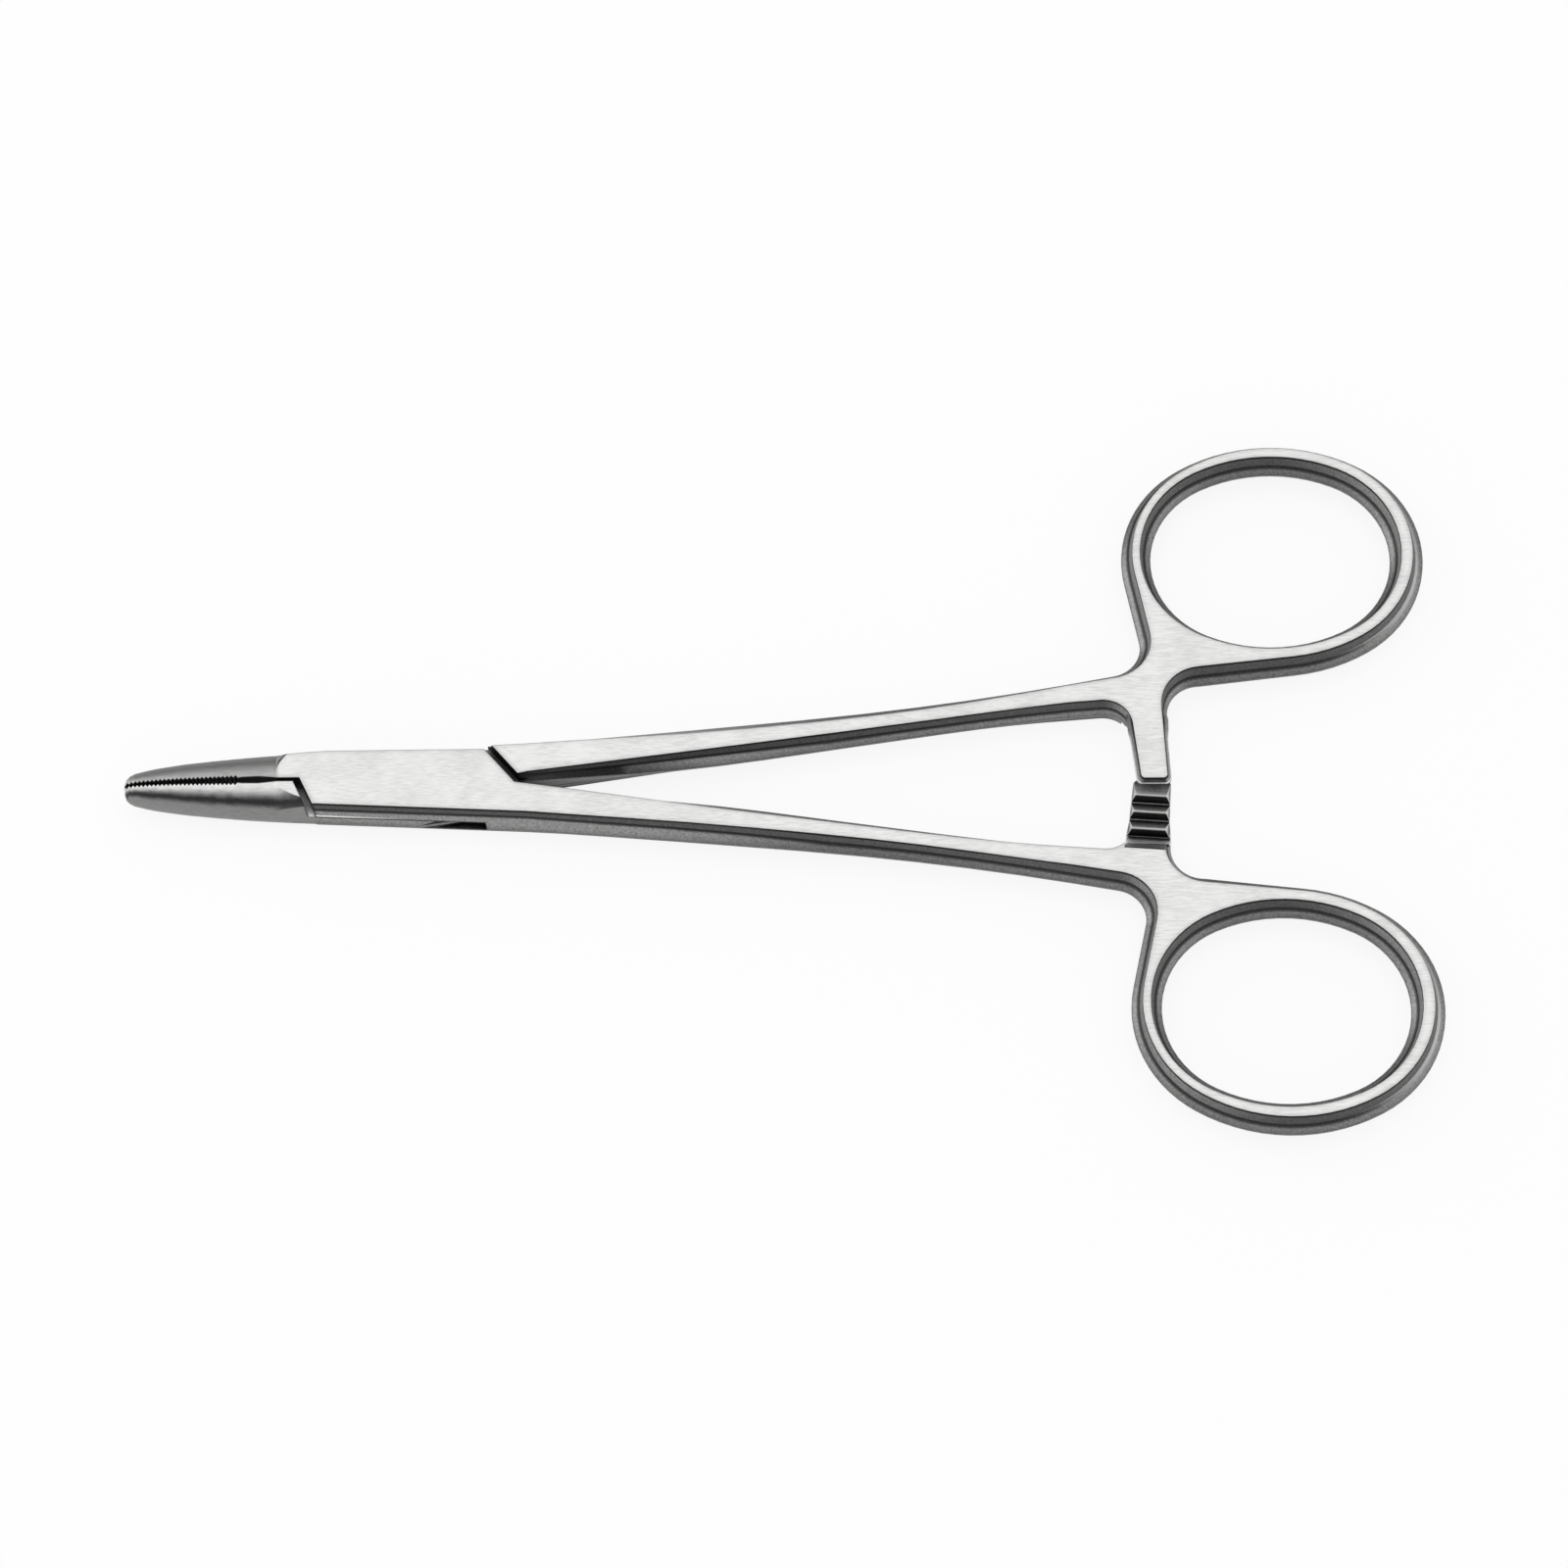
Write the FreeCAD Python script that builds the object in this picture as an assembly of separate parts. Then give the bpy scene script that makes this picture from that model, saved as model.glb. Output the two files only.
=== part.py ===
import FreeCAD
import Part
import math
import os

# A 13 cm surgical needle holder with a box lock, laid flat with its jaws towards -X.
# Millimetres. The pivot axis is X = Y = 0 and the underside of the box lock is Z = 0.
# Solids are built about their mid-plane and lifted by half the box thickness at the end.
# Plan sizes of the handles are those of the half whose ring lies at +Y. The other mirrors it.

Vec = FreeCAD.Vector

# Jaws: oval sections of the closed pair, (distance ahead of the pivot, half width, half thickness)
tip_sections = [(28.40, 0.65, 0.60), (28.22, 1.10, 1.00), (27.90, 1.42, 1.25), (27.40, 1.68, 1.44)]
jaw_sections = [(27.40, 1.68, 1.44), (24.0, 2.44, 1.86), (20.4, 2.92, 2.06), (16.8, 3.28, 2.2)]
jaw_root = 13.2              # where the oval jaws run out into the flat faces
jaw_root_half_width = 3.56
jaw_centre = 0.1             # the oval's centre lies this far towards the upper jaw
flare_length = 4.2           # run-out cone between the jaws and the flat faces
upper_flare = (2.1, 2.9)     # its widening and thickening on the upper jaw: a crisp ground edge
lower_flare = (0.5, 0.7)     # on the lower jaw the faces blend
tip_gap = 0.035              # half the gap between the jaw faces at the tips
jaw_face_slope = 0.0195      # each jaw face leans away from the other by this much per mm

# Serrations across the jaw faces and the relief behind them
serration_pitch = 0.42
serration_depth = 0.17
serration_count = 27
serration_start = 28.25
relief_points = [(0.5, 0.33), (2.1, 0.375), (3.1, 0.285), (3.9, 0.2)]  # (behind them, half gap)

# Box lock
box_thickness = 4.6
box_end = 12.0               # where the box block hands over to the tapering shanks
box_upper_edge = 3.2         # edge of the flat face beside the upper jaw
box_upper_edges = [(-jaw_root, 2.78), (-11.4, 2.9), (-10, 3.02), (-8, 3.15), (2, 3.2), (box_end, 3.2)]
box_lower_front = 2.75       # lower edge of the flat face at the front shoulder
box_lower_slope = 0.05
front_shoulder = 9.0
box_bevel = 0.3
box_crease = 1.45            # height of the crease between bevel and side wall
box_bulge = 1.05             # side wall at mid-thickness, out from the flat's edge
nose_half = 0.15             # half height of the flat left along the forging line
slot_thickness = 1.5
slot_clearance = 0.03
jaw_corner_upper = (-10.7, 0.2)
jaw_corner_lower = (-11.36, -0.2)
front_gap_slope = -2.12      # dy/dx of the slanted gap at the front of the box
cheek_corner = (7.84, 2.95)
crotch = (10.75, 0.5)        # where a shank's inner edge meets the slanted rear gap
rear_gap = 0.62
tongue_flush = 1.2           # the tongue is flush with the side this far past the pivot
tongue_recess = 1.15         # and has drawn in by this much at its far end
tongue_reach = 7.0
slot_end_gap = 0.7           # open slot beyond the far end of the tongue
slot_end_depth = 0.9         # from the side of the box in to the corner of the slot's closed end
slot_end_lean = 0.35         # dx/dy of its closed end outside that corner

# Pivot pin
pin_radius = 1.5
pin_clearance = 0.05

# Shank stations: (x, inner edge, outer edge, half thickness, crease height,
#                  inner bevel, inner bulge, outer bevel, outer bulge)
shank_stations = [
    (20.0, 1.82, 4.40, 2.12, 1.22, 0.16, 0.60, 0.31, 1.12),
    (30.0, 3.27, 5.18, 1.87, 0.90, 0.34, 1.08, 0.36, 1.24),
    (40.0, 4.68, 6.19, 1.72, 0.68, 0.34, 1.02, 0.36, 1.19),
    (51.0, 6.25, 7.57, 1.65, 0.60, 0.31, 0.90, 0.36, 1.11),
    (60.0, 7.46, 9.03, 1.74, 0.62, 0.28, 0.80, 0.34, 1.02),
]

# Ring handle: ovals along both edges of its flat (centre X, half length, half width, end radius)
ring_inside = (86.62, 13.22, 11.2, 10.6)
ring_outside = (86.8, 14.15, 12.22, 11.5)
ring_y = 25.26
ring_tilt = 1.3              # degrees, long axis turned outwards
handle_half_thickness = 1.95
handle_crease = 0.65
handle_bevel = 0.38
handle_bulge = 1.1

# Neck and ratchet arm
neck_start = 66.0
neck_inner = 8.12
neck_inner_slope = 0.077
neck_width = 1.96
neck_outer_slope = 0.175
neck_fillet = 4.4
neck_lean = 11.3             # degrees, left side of the neck from the Y direction
web_slope = 0.11             # underside of the ring beyond the ratchet arm
web_fillet = 4.2
arm_setback = 7.0            # from the start of the neck to the left edge of the arm's flat
arm_width = 2.6
arm_left_lean = 0.12
arm_right_lean = 0.056
arm_overlap = 0.48           # the arm's flat ends this far past the axis
arm_fillet = 3.0
arm_corner = 0.4
upper_arm_sides = (0.44, 0.42)   # upright sides of the arm, left and right, out from its flat
lower_arm_sides = (0.76, 0.42)
arm_end = 0.3                # its upright end, out from its flat
arm_end_radius = 0.7
arm_edge = 0.7               # height of the narrow bevel above its upright walls
# the sides towards the root: distance below the neck's inner edge, growth to the left and right
arm_root = [(4.0, 0, 0), (3.0, 0.12, 0.12), (1.7, 0.1, 0.2), (0.7, -0.05, 0.0)]

# Width of bevel and bulge round the outline, start and end of each line or arc, as a share of
# handle_bevel and handle_bulge: neck inside, arm, web, ring, neck outside
outline_shares = [
    (0.66, 0.66), (0.66, 0.4), (0.4, 0.4), (0.4, 0.28), (0.28, 0.28), (0.28, 0.38), (0.38, 0.55),
    (0.55, 1.1), (1.1, 1.0), (1.0, 1.0), (1.0, 1.0), (1.0, 1.0), (1.0, 1.0), (1.0, 1.0),
    (1.0, 1.0), (1.0, 0.93),
]

# Ratchet
tooth_pitch = 1.88
tooth_count = 3
tooth_height = 1.0
tooth_back = 0.5             # run of the steep face
tooth_lean = 4.5             # degrees, teeth lie roughly towards the pivot
first_crest = 1.42           # distance of the first crest past the axis
crest_level = 0.05           # crests stand this far past mid-thickness
lead_in_level = 0.95
lead_in_start = 0.75
run_out_end = 8.45           # where the slope behind the teeth reaches the flat
crest_chamfer = (0.4, 0.9)   # width and depth of the chamfers at the ends of the crests
tooth_overrun = 1.15         # the teeth are cut this far past both sides of the arm's flat

half_box = box_thickness / 2
half_slot = slot_thickness / 2
neck_outer = neck_inner + neck_width
arm_left = neck_start + arm_setback   # arm's flat where it crosses the axis
arm_right = arm_left + arm_width
big = 8.0                    # overshoot of cutting tools beside and above the metal


def polygon(points, z0, z1):
    """Prism of a plan outline between two heights."""
    wire = Part.makePolygon([Vec(x, y, z0) for x, y in points] + [Vec(*points[0], z0)])
    return Part.Face(wire).extrude(Vec(0, 0, z1 - z0))


def oval_wire(x, half_width, half_thickness):
    """Ellipse across the instrument with its long axis along Y."""
    major = Vec(0, 1, 0) if half_width >= half_thickness else Vec(0, 0, 1)
    large, small = max(half_width, half_thickness), min(half_width, half_thickness)
    centre = Vec(x, jaw_centre, 0)
    minor = Vec(1, 0, 0).cross(major)
    return Part.Wire(Part.Ellipse(centre + major * large, centre + minor * small, centre).toShape())


def mirrored(shape):
    return shape.mirror(Vec(0, 0, 0), Vec(0, 1, 0))


def side(edge, sign, half, crease, bevel, bulge):
    """Upper to lower corners of one side of a section: flat edge, crease, forging line."""
    return [
        (edge, half),
        (edge + sign * bevel, crease),
        (edge + sign * bulge, nose_half),
        (edge + sign * bulge, -nose_half),
        (edge + sign * bevel, -crease),
        (edge, -half),
    ]


def section(x, low_side, high_side):
    points = low_side + high_side[::-1]
    return Part.makePolygon([Vec(x, y, z) for y, z in points + points[:1]])


# Front of the instrument: closed jaws running out into the box block

def lower_edge(x):
    """Lower edge of the flat face of the box, beside the shank of the box half."""
    return -(box_lower_front + box_lower_slope * (x + front_shoulder))


def box_block():
    """The closed box lock as one bevelled block, in straight runs between three sections."""
    form = (half_box, box_crease, box_bevel, box_bulge)
    wires = [
        section(x, side(lower_edge(x), -1, *form), side(high, 1, *form)) for x, high in box_upper_edges
    ]
    return Part.makeLoft(wires, True, True)


def closed_front(flare_growth):
    """Oval jaws and box block in one, before the halves are parted."""
    tip = Part.makeLoft([oval_wire(-x, w, t) for x, w, t in tip_sections], True, True)
    ovals = [oval_wire(-x, w, t) for x, w, t in jaw_sections]
    root = oval_wire(-jaw_root, jaw_root_half_width, half_box)
    jaws = tip.fuse(Part.makeLoft(ovals + [root], True, False))
    widening, thickening = flare_growth
    flare_end = oval_wire(
        flare_length - jaw_root, jaw_root_half_width + widening, half_box + thickening
    )
    flare = Part.makeLoft([root, flare_end], True, True)
    block = box_block()
    start = flare_length - jaw_root
    rest = Part.makeBox(box_end - start, 4 * big, 4 * big, Vec(start, -2 * big, -2 * big))
    return jaws.fuse([flare.common(block), block.common(rest)]).removeSplitter()


def jaw_face(x):
    """Distance of a jaw face from the meeting line, at a distance ahead of the pivot."""
    return tip_gap + jaw_face_slope * (tip_sections[0][0] - x)


def jaw_profile():
    """Points of one jaw face from tip to root: serrations, then the hollow relief behind them."""
    points = [(-tip_sections[0][0] - big, tip_gap)]
    for i in range(serration_count):
        x = serration_start - i * serration_pitch
        points.append((-x, jaw_face(x)))
        middle = x - serration_pitch / 2
        points.append((-middle, jaw_face(middle) + serration_depth))
    x = serration_start - serration_count * serration_pitch
    points.append((-x, jaw_face(x)))
    return points + [(behind - x, y) for behind, y in relief_points]


def front_slant(corner, y):
    """Point at height y on a slanted wall of the front gap."""
    return (corner[0] + (y - corner[1]) / front_gap_slope, y)


def rear_slope():
    return (cheek_corner[1] + crotch[1]) / (cheek_corner[0] - crotch[0])


def inner_edge(x):
    """Inner edge of a shank's flat between the crotch and the first station."""
    station = shank_stations[0]
    slope = (station[1] - crotch[1]) / (station[0] - crotch[0])
    return crotch[1] + slope * (x - crotch[0])


def box_half_plan():
    """Plan of the half with the upper jaw, the two cheeks and the lower shank."""
    corner = jaw_corner_upper
    rear = (cheek_corner[0] + (big - cheek_corner[1]) / rear_slope(), big)
    return (
        jaw_profile()
        + [corner, front_slant(corner, -big)]
        + [(box_end, -big), (box_end, -inner_edge(box_end)), (crotch[0], -crotch[1]), rear]
        + [(-tip_sections[0][0] - big, big)]
    )


def tongue_jaw_plan():
    """Plan of the lower jaw with its full-thickness front shoulder."""
    corner = jaw_corner_lower
    face = [(x, -y) for x, y in jaw_profile()]
    return face + [corner, front_slant(corner, -big), (-tip_sections[0][0] - big, -big)]


def tongue_plan():
    """Plan of the thin tongue that crosses the box at mid-thickness."""
    low_nose = lower_edge(tongue_flush) - box_bulge
    low_end = lower_edge(tongue_reach) - box_bulge + tongue_recess
    top_nose = box_upper_edge + box_bulge
    return [
        (jaw_corner_lower[0] - 1, -big),
        (tongue_flush, -big),
        (tongue_flush, low_nose),
        (tongue_reach, low_end),
        (crotch[0] - 0.85, 0.3 - crotch[1]),
        (box_end, inner_edge(box_end)),
        (box_end, big),
        (-tongue_flush, big),
        (-tongue_flush, top_nose),
        (-tongue_reach - 0.3, top_nose - tongue_recess),
        (jaw_corner_upper[0] + 0.4, jaw_corner_upper[1] - 0.34),
        (jaw_corner_lower[0] - 1, jaw_corner_lower[1] - 0.1),
    ]


def slot_plan():
    """Plan of the slot through the box half: open to both sides, closed at both ends."""
    corner = jaw_corner_upper
    end = tongue_reach + slot_end_gap
    inside = lower_edge(end) - box_bulge + slot_end_depth
    return [
        (corner[0], corner[1]),
        front_slant(corner, -big),
        (end + slot_end_lean * (big + inside), -big),
        (end, inside),
        (crotch[0], -crotch[1]),
        (box_end, big),
        (corner[0] + (big - corner[1]) / 1.9, big),
    ]


def shoulder():
    """Full-thickness rear shoulder of the tongue half, behind the slanted gap."""
    form = (half_box, box_crease, box_bevel, box_bulge)
    start = cheek_corner[0]
    wires = [
        section(x, side(-1.0, -1, half_box, box_crease, 0, 0), side(-lower_edge(x), 1, *form))
        for x in (start, box_end)
    ]
    block = Part.makeLoft(wires, True, True)
    run = big / rear_slope()
    base = crotch[0] + rear_gap / 2
    plan = [
        (base, crotch[1] * 0.94),
        (box_end, inner_edge(box_end)),
        (box_end, big),
        (base + run, crotch[1] + big),
    ]
    return block.common(polygon(plan, -big, big))


# Shanks

def neck_side_shift(slope, offset):
    """Distance along Y of an outline offset square to a line of this slope."""
    return offset * math.hypot(1, slope)


def shank():
    """Tapering shank: a smooth loft from the box, through the stations, to the neck."""
    outer = -lower_edge(box_end)
    first = section(
        box_end,
        side(inner_edge(box_end), -1, half_box, box_crease, 0, 0),
        side(outer, 1, half_box, box_crease, box_bevel, box_bulge),
    )
    middle = [
        section(
            x,
            side(low, -1, half, crease, bevel_in, bulge_in),
            side(high, 1, half, crease, bevel, bulge),
        )
        for x, low, high, half, crease, bevel_in, bulge_in, bevel, bulge in shank_stations
    ]
    sides = ((neck_inner_slope, outline_shares[0][0]), (neck_outer_slope, outline_shares[-1][1]))
    bevels = [neck_side_shift(slope, handle_bevel * share) for slope, share in sides]
    bulges = [neck_side_shift(slope, handle_bulge * share) for slope, share in sides]
    last = section(
        neck_start,
        side(neck_inner, -1, handle_half_thickness, handle_crease, bevels[0], bulges[0]),
        side(neck_outer, 1, handle_half_thickness, handle_crease, bevels[1], bulges[1]),
    )
    return Part.makeLoft([first] + middle + [last], True, False)


# Ring, neck and ratchet arm: one outline of lines and arcs, offset at each level

def unit(angle):
    return Vec(math.cos(angle), math.sin(angle), 0)


def crossing(p, u, q, v):
    """Crossing point of two lines, each a point and a direction."""
    t = ((q.x - p.x) * v.y - (q.y - p.y) * v.x) / (u.x * v.y - u.y * v.x)
    return p + u * t


def ring_arcs(centre_x, half_length, half_width, end_radius):
    """Centre, radius, start and end angle of the four arcs of one of the ring's ovals."""
    tilt = math.radians(ring_tilt)
    along, across = unit(tilt), unit(tilt + math.pi / 2)
    centre = Vec(centre_x, ring_y, 0)
    reach = half_length - end_radius
    drop = half_width - end_radius
    shift = (reach**2 - drop**2) / (2 * drop)
    turn = math.atan2(shift, reach)
    side_radius = half_width + shift
    return {
        "bottom": (centre + across * shift, side_radius, tilt - math.pi + turn, tilt - turn),
        "right": (centre + along * reach, end_radius, tilt - turn, tilt + turn),
        "top": (centre - across * shift, side_radius, tilt + turn, tilt + math.pi - turn),
        "left": (centre - along * reach, end_radius, tilt + math.pi - turn, tilt + math.pi + turn),
    }


def arc_piece(centre, radius, start, end):
    return ("arc", centre, radius, start, end)


def rounded(p, q, r, radius):
    """Fillet at the corner q between p and r: the arc and its two tangent points."""
    before, after = (q - p).normalize(), (r - q).normalize()
    left = before.x * after.y - before.y * after.x > 0
    half_turn = math.acos(max(-1, min(1, before.dot(after)))) / 2
    run = radius * math.tan(half_turn)
    start, end = q - before * run, q + after * run
    normal = Vec(-before.y, before.x, 0) if left else Vec(before.y, -before.x, 0)
    centre = start + normal * radius
    first = math.atan2(start.y - centre.y, start.x - centre.x)
    last = math.atan2(end.y - centre.y, end.x - centre.x)
    if left and last < first:
        last += 2 * math.pi
    if not left and last > first:
        last -= 2 * math.pi
    return start, arc_piece(centre, radius, first, last), end


def handle_outline():
    """Lines and arcs round neck, arm and ring, metal on the left, from inner to outer shank edge."""
    arcs = ring_arcs(*ring_outside)
    inner_start = Vec(neck_start, neck_inner, 0)
    outer_end = Vec(neck_start, neck_outer, 0)
    inner_dir = Vec(1, neck_inner_slope, 0)
    arm_left_dir = Vec(arm_left_lean, -1, 0)
    arm_right_dir = Vec(-arm_right_lean, 1, 0)
    tip = Vec(0, -arm_overlap, 0)
    level = Vec(1, 0, 0)
    elbow = crossing(inner_start, inner_dir, Vec(arm_left, 0, 0), arm_left_dir)
    tip_left = crossing(tip, level, Vec(arm_left, 0, 0), arm_left_dir)
    tip_right = crossing(tip, level, Vec(arm_right, 0, 0), arm_right_dir)

    web_angle = math.atan(web_slope)
    c, r, a, b = arcs["bottom"]
    web_end = c + unit(web_angle - math.pi / 2) * r
    web_corner = crossing(web_end, unit(web_angle), Vec(arm_right, 0, 0), arm_right_dir)
    bottom = arc_piece(c, r, web_angle - math.pi / 2, b)

    lean = math.radians(neck_lean)
    c, r, a, b = arcs["left"]
    neck_angle = math.pi + lean
    neck_top = c + unit(neck_angle) * r
    neck_dir = unit(neck_angle + math.pi / 2)
    left = arc_piece(c, r, a, neck_angle)
    neck_corner = crossing(neck_top, neck_dir, outer_end, Vec(1, neck_outer_slope, 0))

    s1, f1, e1 = rounded(inner_start, elbow, tip_left, arm_fillet)
    s2, f2, e2 = rounded(elbow, tip_left, tip_right, arm_corner)
    s3, f3, e3 = rounded(tip_left, tip_right, web_corner, arm_corner)
    s4, f4, e4 = rounded(tip_right, web_corner, web_end, web_fillet)
    s5, f5, e5 = rounded(neck_top, neck_corner, outer_end, neck_fillet)
    return [
        ("line", inner_start, s1), f1, ("line", e1, s2), f2, ("line", e2, s3), f3,
        ("line", e3, s4), f4, ("line", e4, web_end), bottom,
        arc_piece(*arcs["right"]), arc_piece(*arcs["top"]), left,
        ("line", neck_top, s5), f5, ("line", e5, outer_end),
    ]


def offset_edges(pieces, shares, offset, z):
    """Edges of an outline moved outwards, away from the metal on its left, at height z."""
    lift = Vec(0, 0, z)
    edges = []
    for piece, (first, last) in zip(pieces, shares):
        if piece[0] == "line":
            p, q = piece[1], piece[2]
            run = (q - p).normalize()
            out = Vec(run.y, -run.x, 0) * offset
            edges.append((p + out * first + lift, q + out * last + lift))
        else:
            centre, radius, start, end = piece[1:]
            out = offset if end > start else -offset
            turns = ((start, first), ((start + end) / 2, (first + last) / 2), (end, last))
            edges.append([centre + unit(a) * (radius + out * share) + lift for a, share in turns])
    return edges


def closed_wire(edges):
    """Wire of lines, given by two points, and arcs, given by three."""
    shapes = [Part.Arc(*edge) if len(edge) == 3 else Part.LineSegment(*edge) for edge in edges]
    return Part.Wire(Part.__sortEdges__([shape.toShape() for shape in shapes]))


def at_neck_start(p, q):
    """Point where the line through p and q begins at the neck."""
    return p + (q - p) * ((neck_start - p.x) / (q.x - p.x))


def handle_wire(pieces, offset, z):
    """Closed wire of the neck, arm and ring outline at one level, cut off square at the neck."""
    edges = offset_edges(pieces, outline_shares, offset, z)
    inner, outer = at_neck_start(*edges[0]), at_neck_start(*edges[-1])
    edges[0], edges[-1] = (inner, edges[0][1]), (edges[-1][0], outer)
    return closed_wire(edges + [(outer, inner)])


def hole_wire(offset, z):
    shapes = []
    for c, r, a, b in ring_arcs(*ring_inside).values():
        points = [c + unit(t) * (r - offset) + Vec(0, 0, z) for t in (a, (a + b) / 2, b)]
        shapes.append(Part.Arc(*points).toShape())
    return Part.Wire(Part.__sortEdges__(shapes))


def handle_levels():
    """Offsets and heights of the section from the upper flat to the lower one."""
    upper = [(0.0, handle_half_thickness), (handle_bevel, handle_crease), (handle_bulge, nose_half)]
    return upper + [(offset, -z) for offset, z in upper[::-1]]


def arm_core(arm_sides):
    """Upright walls with a narrow bevel that fill out the sides and the end of the arm."""
    wall = handle_half_thickness - arm_edge
    wires = []
    for share, z in ((0, handle_half_thickness), (1, wall), (1, -wall), (0, -handle_half_thickness)):
        end = -arm_overlap - arm_end * share
        radius = arm_corner + (arm_end_radius - arm_corner) * share
        left, right = [], []
        for drop, grow_left, grow_right in [(neck_inner - end, 0, 0)] + arm_root:
            y = neck_inner - drop
            left_side = (arm_sides[0] + grow_left) * share
            right_side = (arm_sides[1] + grow_right) * share
            left.append(Vec(arm_left - arm_left_lean * y - left_side, y, z))
            right.append(Vec(arm_right - arm_right_lean * y + right_side, y, z))
        s1, f1, e1 = rounded(left[1], left[0], right[0], radius)
        s2, f2, e2 = rounded(left[0], right[0], right[1], radius)
        pieces = [("line", p, q) for p, q in zip(left[:0:-1], left[-2:0:-1] + [s1])]
        pieces += [f1, ("line", e1, s2), f2]
        pieces += [("line", p, q) for p, q in zip([e2] + right[1:], right[1:] + [left[-1]])]
        flat = [(0, 0)] * len(pieces)
        wires.append(closed_wire(offset_edges(pieces, flat, 0, 0)))
    return Part.makeLoft(wires, True, True)


def ratchet_cut(arm_sides):
    """Space under the arm of the +Y half: lead-in ramp, teeth and the slope back to the flat."""
    start = -lead_in_start - 1
    line = [(start, -big), (start, lead_in_level + 0.6), (-lead_in_start, lead_in_level)]
    for i in range(tooth_count):
        crest = first_crest + i * tooth_pitch
        line.append((crest, -crest_level))
        line.append((crest + tooth_back, tooth_height - crest_level))
    line.append((run_out_end, -handle_half_thickness))
    line.append((run_out_end + 1.0, -big))
    face = Part.Face(Part.makePolygon([Vec(arm_left - tooth_overrun, y, z) for y, z in line + line[:1]]))
    cut = face.extrude(Vec(arm_width + 2 * tooth_overrun, 0, 0))
    cut.rotate(Vec((arm_left + arm_right) / 2, 0, 0), Vec(0, 0, 1), tooth_lean)

    # The crests are chamfered towards both sides of the arm
    reach = first_crest + (tooth_count - 1) * tooth_pitch + 1.5 * tooth_back
    width, depth = crest_chamfer
    low, high = -crest_level - 0.01, depth - crest_level
    for wall, out, lean in (
        (arm_left - arm_sides[0], -1, arm_left_lean),
        (arm_right + arm_sides[1], 1, arm_right_lean),
    ):
        corners = [(wall - out * width, low), (wall + out * 0.05, high), (wall + out * 3, low)]
        wires = [
            Part.makePolygon([Vec(x - lean * y, y, z) for x, z in corners + corners[:1]])
            for y in (start, reach)
        ]
        cut = cut.fuse(Part.makeLoft(wires, True, True))
    return cut


def handle(arm_sides):
    """Ring, neck and ratchet arm of the +Y half."""
    pieces = handle_outline()
    body = Part.makeLoft([handle_wire(pieces, d, z) for d, z in handle_levels()], True, True)
    hole = Part.makeLoft([hole_wire(d, z) for d, z in handle_levels()], True, True)
    return body.cut(hole).fuse(arm_core(arm_sides)).cut(ratchet_cut(arm_sides))


# The three pieces

def pivot_hole(radius):
    return Part.makeCylinder(radius, 2 * big, Vec(0, 0, -big))


def box_half(arm, leg):
    """Female half: upper jaw, two cheeks, lower shank and lower ring with upward teeth."""
    body = closed_front(upper_flare).common(polygon(box_half_plan(), -big, big))
    body = body.cut(polygon(slot_plan(), -half_slot, half_slot))
    body = body.cut(pivot_hole(pin_radius))
    turned = arm.copy()
    turned.rotate(Vec(0, 0, 0), Vec(1, 0, 0), 180)
    return body.fuse([mirrored(leg), turned]).removeSplitter()


def tongue_half(arm, leg):
    """Male half: lower jaw, thin tongue through the box, upper shank and ring, downward teeth."""
    half_tongue = half_slot - slot_clearance
    front = closed_front(lower_flare)
    jaw = front.common(polygon(tongue_jaw_plan(), -big, big))
    tongue = front.common(polygon(tongue_plan(), -half_tongue, half_tongue))
    body = jaw.fuse([tongue, shoulder(), leg, arm]).removeSplitter()
    return body.cut(pivot_hole(pin_radius + pin_clearance))


def pivot_pin():
    """Riveted pin, ground flush with both faces of the box."""
    return Part.makeCylinder(pin_radius, box_thickness, Vec(0, 0, -half_box))


def main():
    os.makedirs("parts", exist_ok=True)
    leg = shank()
    pieces = {
        "box_lock_half": box_half(handle(lower_arm_sides), leg),
        "tongue_half": tongue_half(handle(upper_arm_sides), leg),
        "pivot_pin": pivot_pin(),
    }
    for name, shape in pieces.items():
        shape.translate(Vec(0, 0, half_box))
        solids = shape.Solids
        print(name, "solids", len(solids), "valid", shape.isValid(), "faces", len(shape.Faces),
              "volume", round(shape.Volume, 2))
        if len(solids) == 1:
            shape = solids[0]
        shape.exportStep(f"parts/{name}.step")


main()
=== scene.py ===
import math

import bpy
import numpy as np
from mathutils import Matrix, Vector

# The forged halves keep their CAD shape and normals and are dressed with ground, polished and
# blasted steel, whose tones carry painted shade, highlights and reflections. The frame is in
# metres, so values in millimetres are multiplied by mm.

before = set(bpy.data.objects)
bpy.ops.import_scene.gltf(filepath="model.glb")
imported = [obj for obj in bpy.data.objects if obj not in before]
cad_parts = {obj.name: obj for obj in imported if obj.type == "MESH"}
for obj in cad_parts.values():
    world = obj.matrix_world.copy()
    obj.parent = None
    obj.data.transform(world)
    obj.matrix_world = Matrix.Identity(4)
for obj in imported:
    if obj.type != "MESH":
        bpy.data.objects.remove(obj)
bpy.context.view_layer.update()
mm = 0.001
print("frame loaded")


def linearColour(hexText):  # sRGB hex value to linear RGBA
    rgb = np.array([int(hexText[i:i + 2], 16) for i in (0, 2, 4)]) / 255
    linear = np.where(rgb <= 0.04045, rgb / 12.92, ((rgb + 0.055) / 1.055) ** 2.4)
    return (*(float(channel) for channel in linear), 1.0)


def tone(hexText):  # linear brightness of a grey written as a hex value
    return linearColour(hexText)[0]


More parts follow.
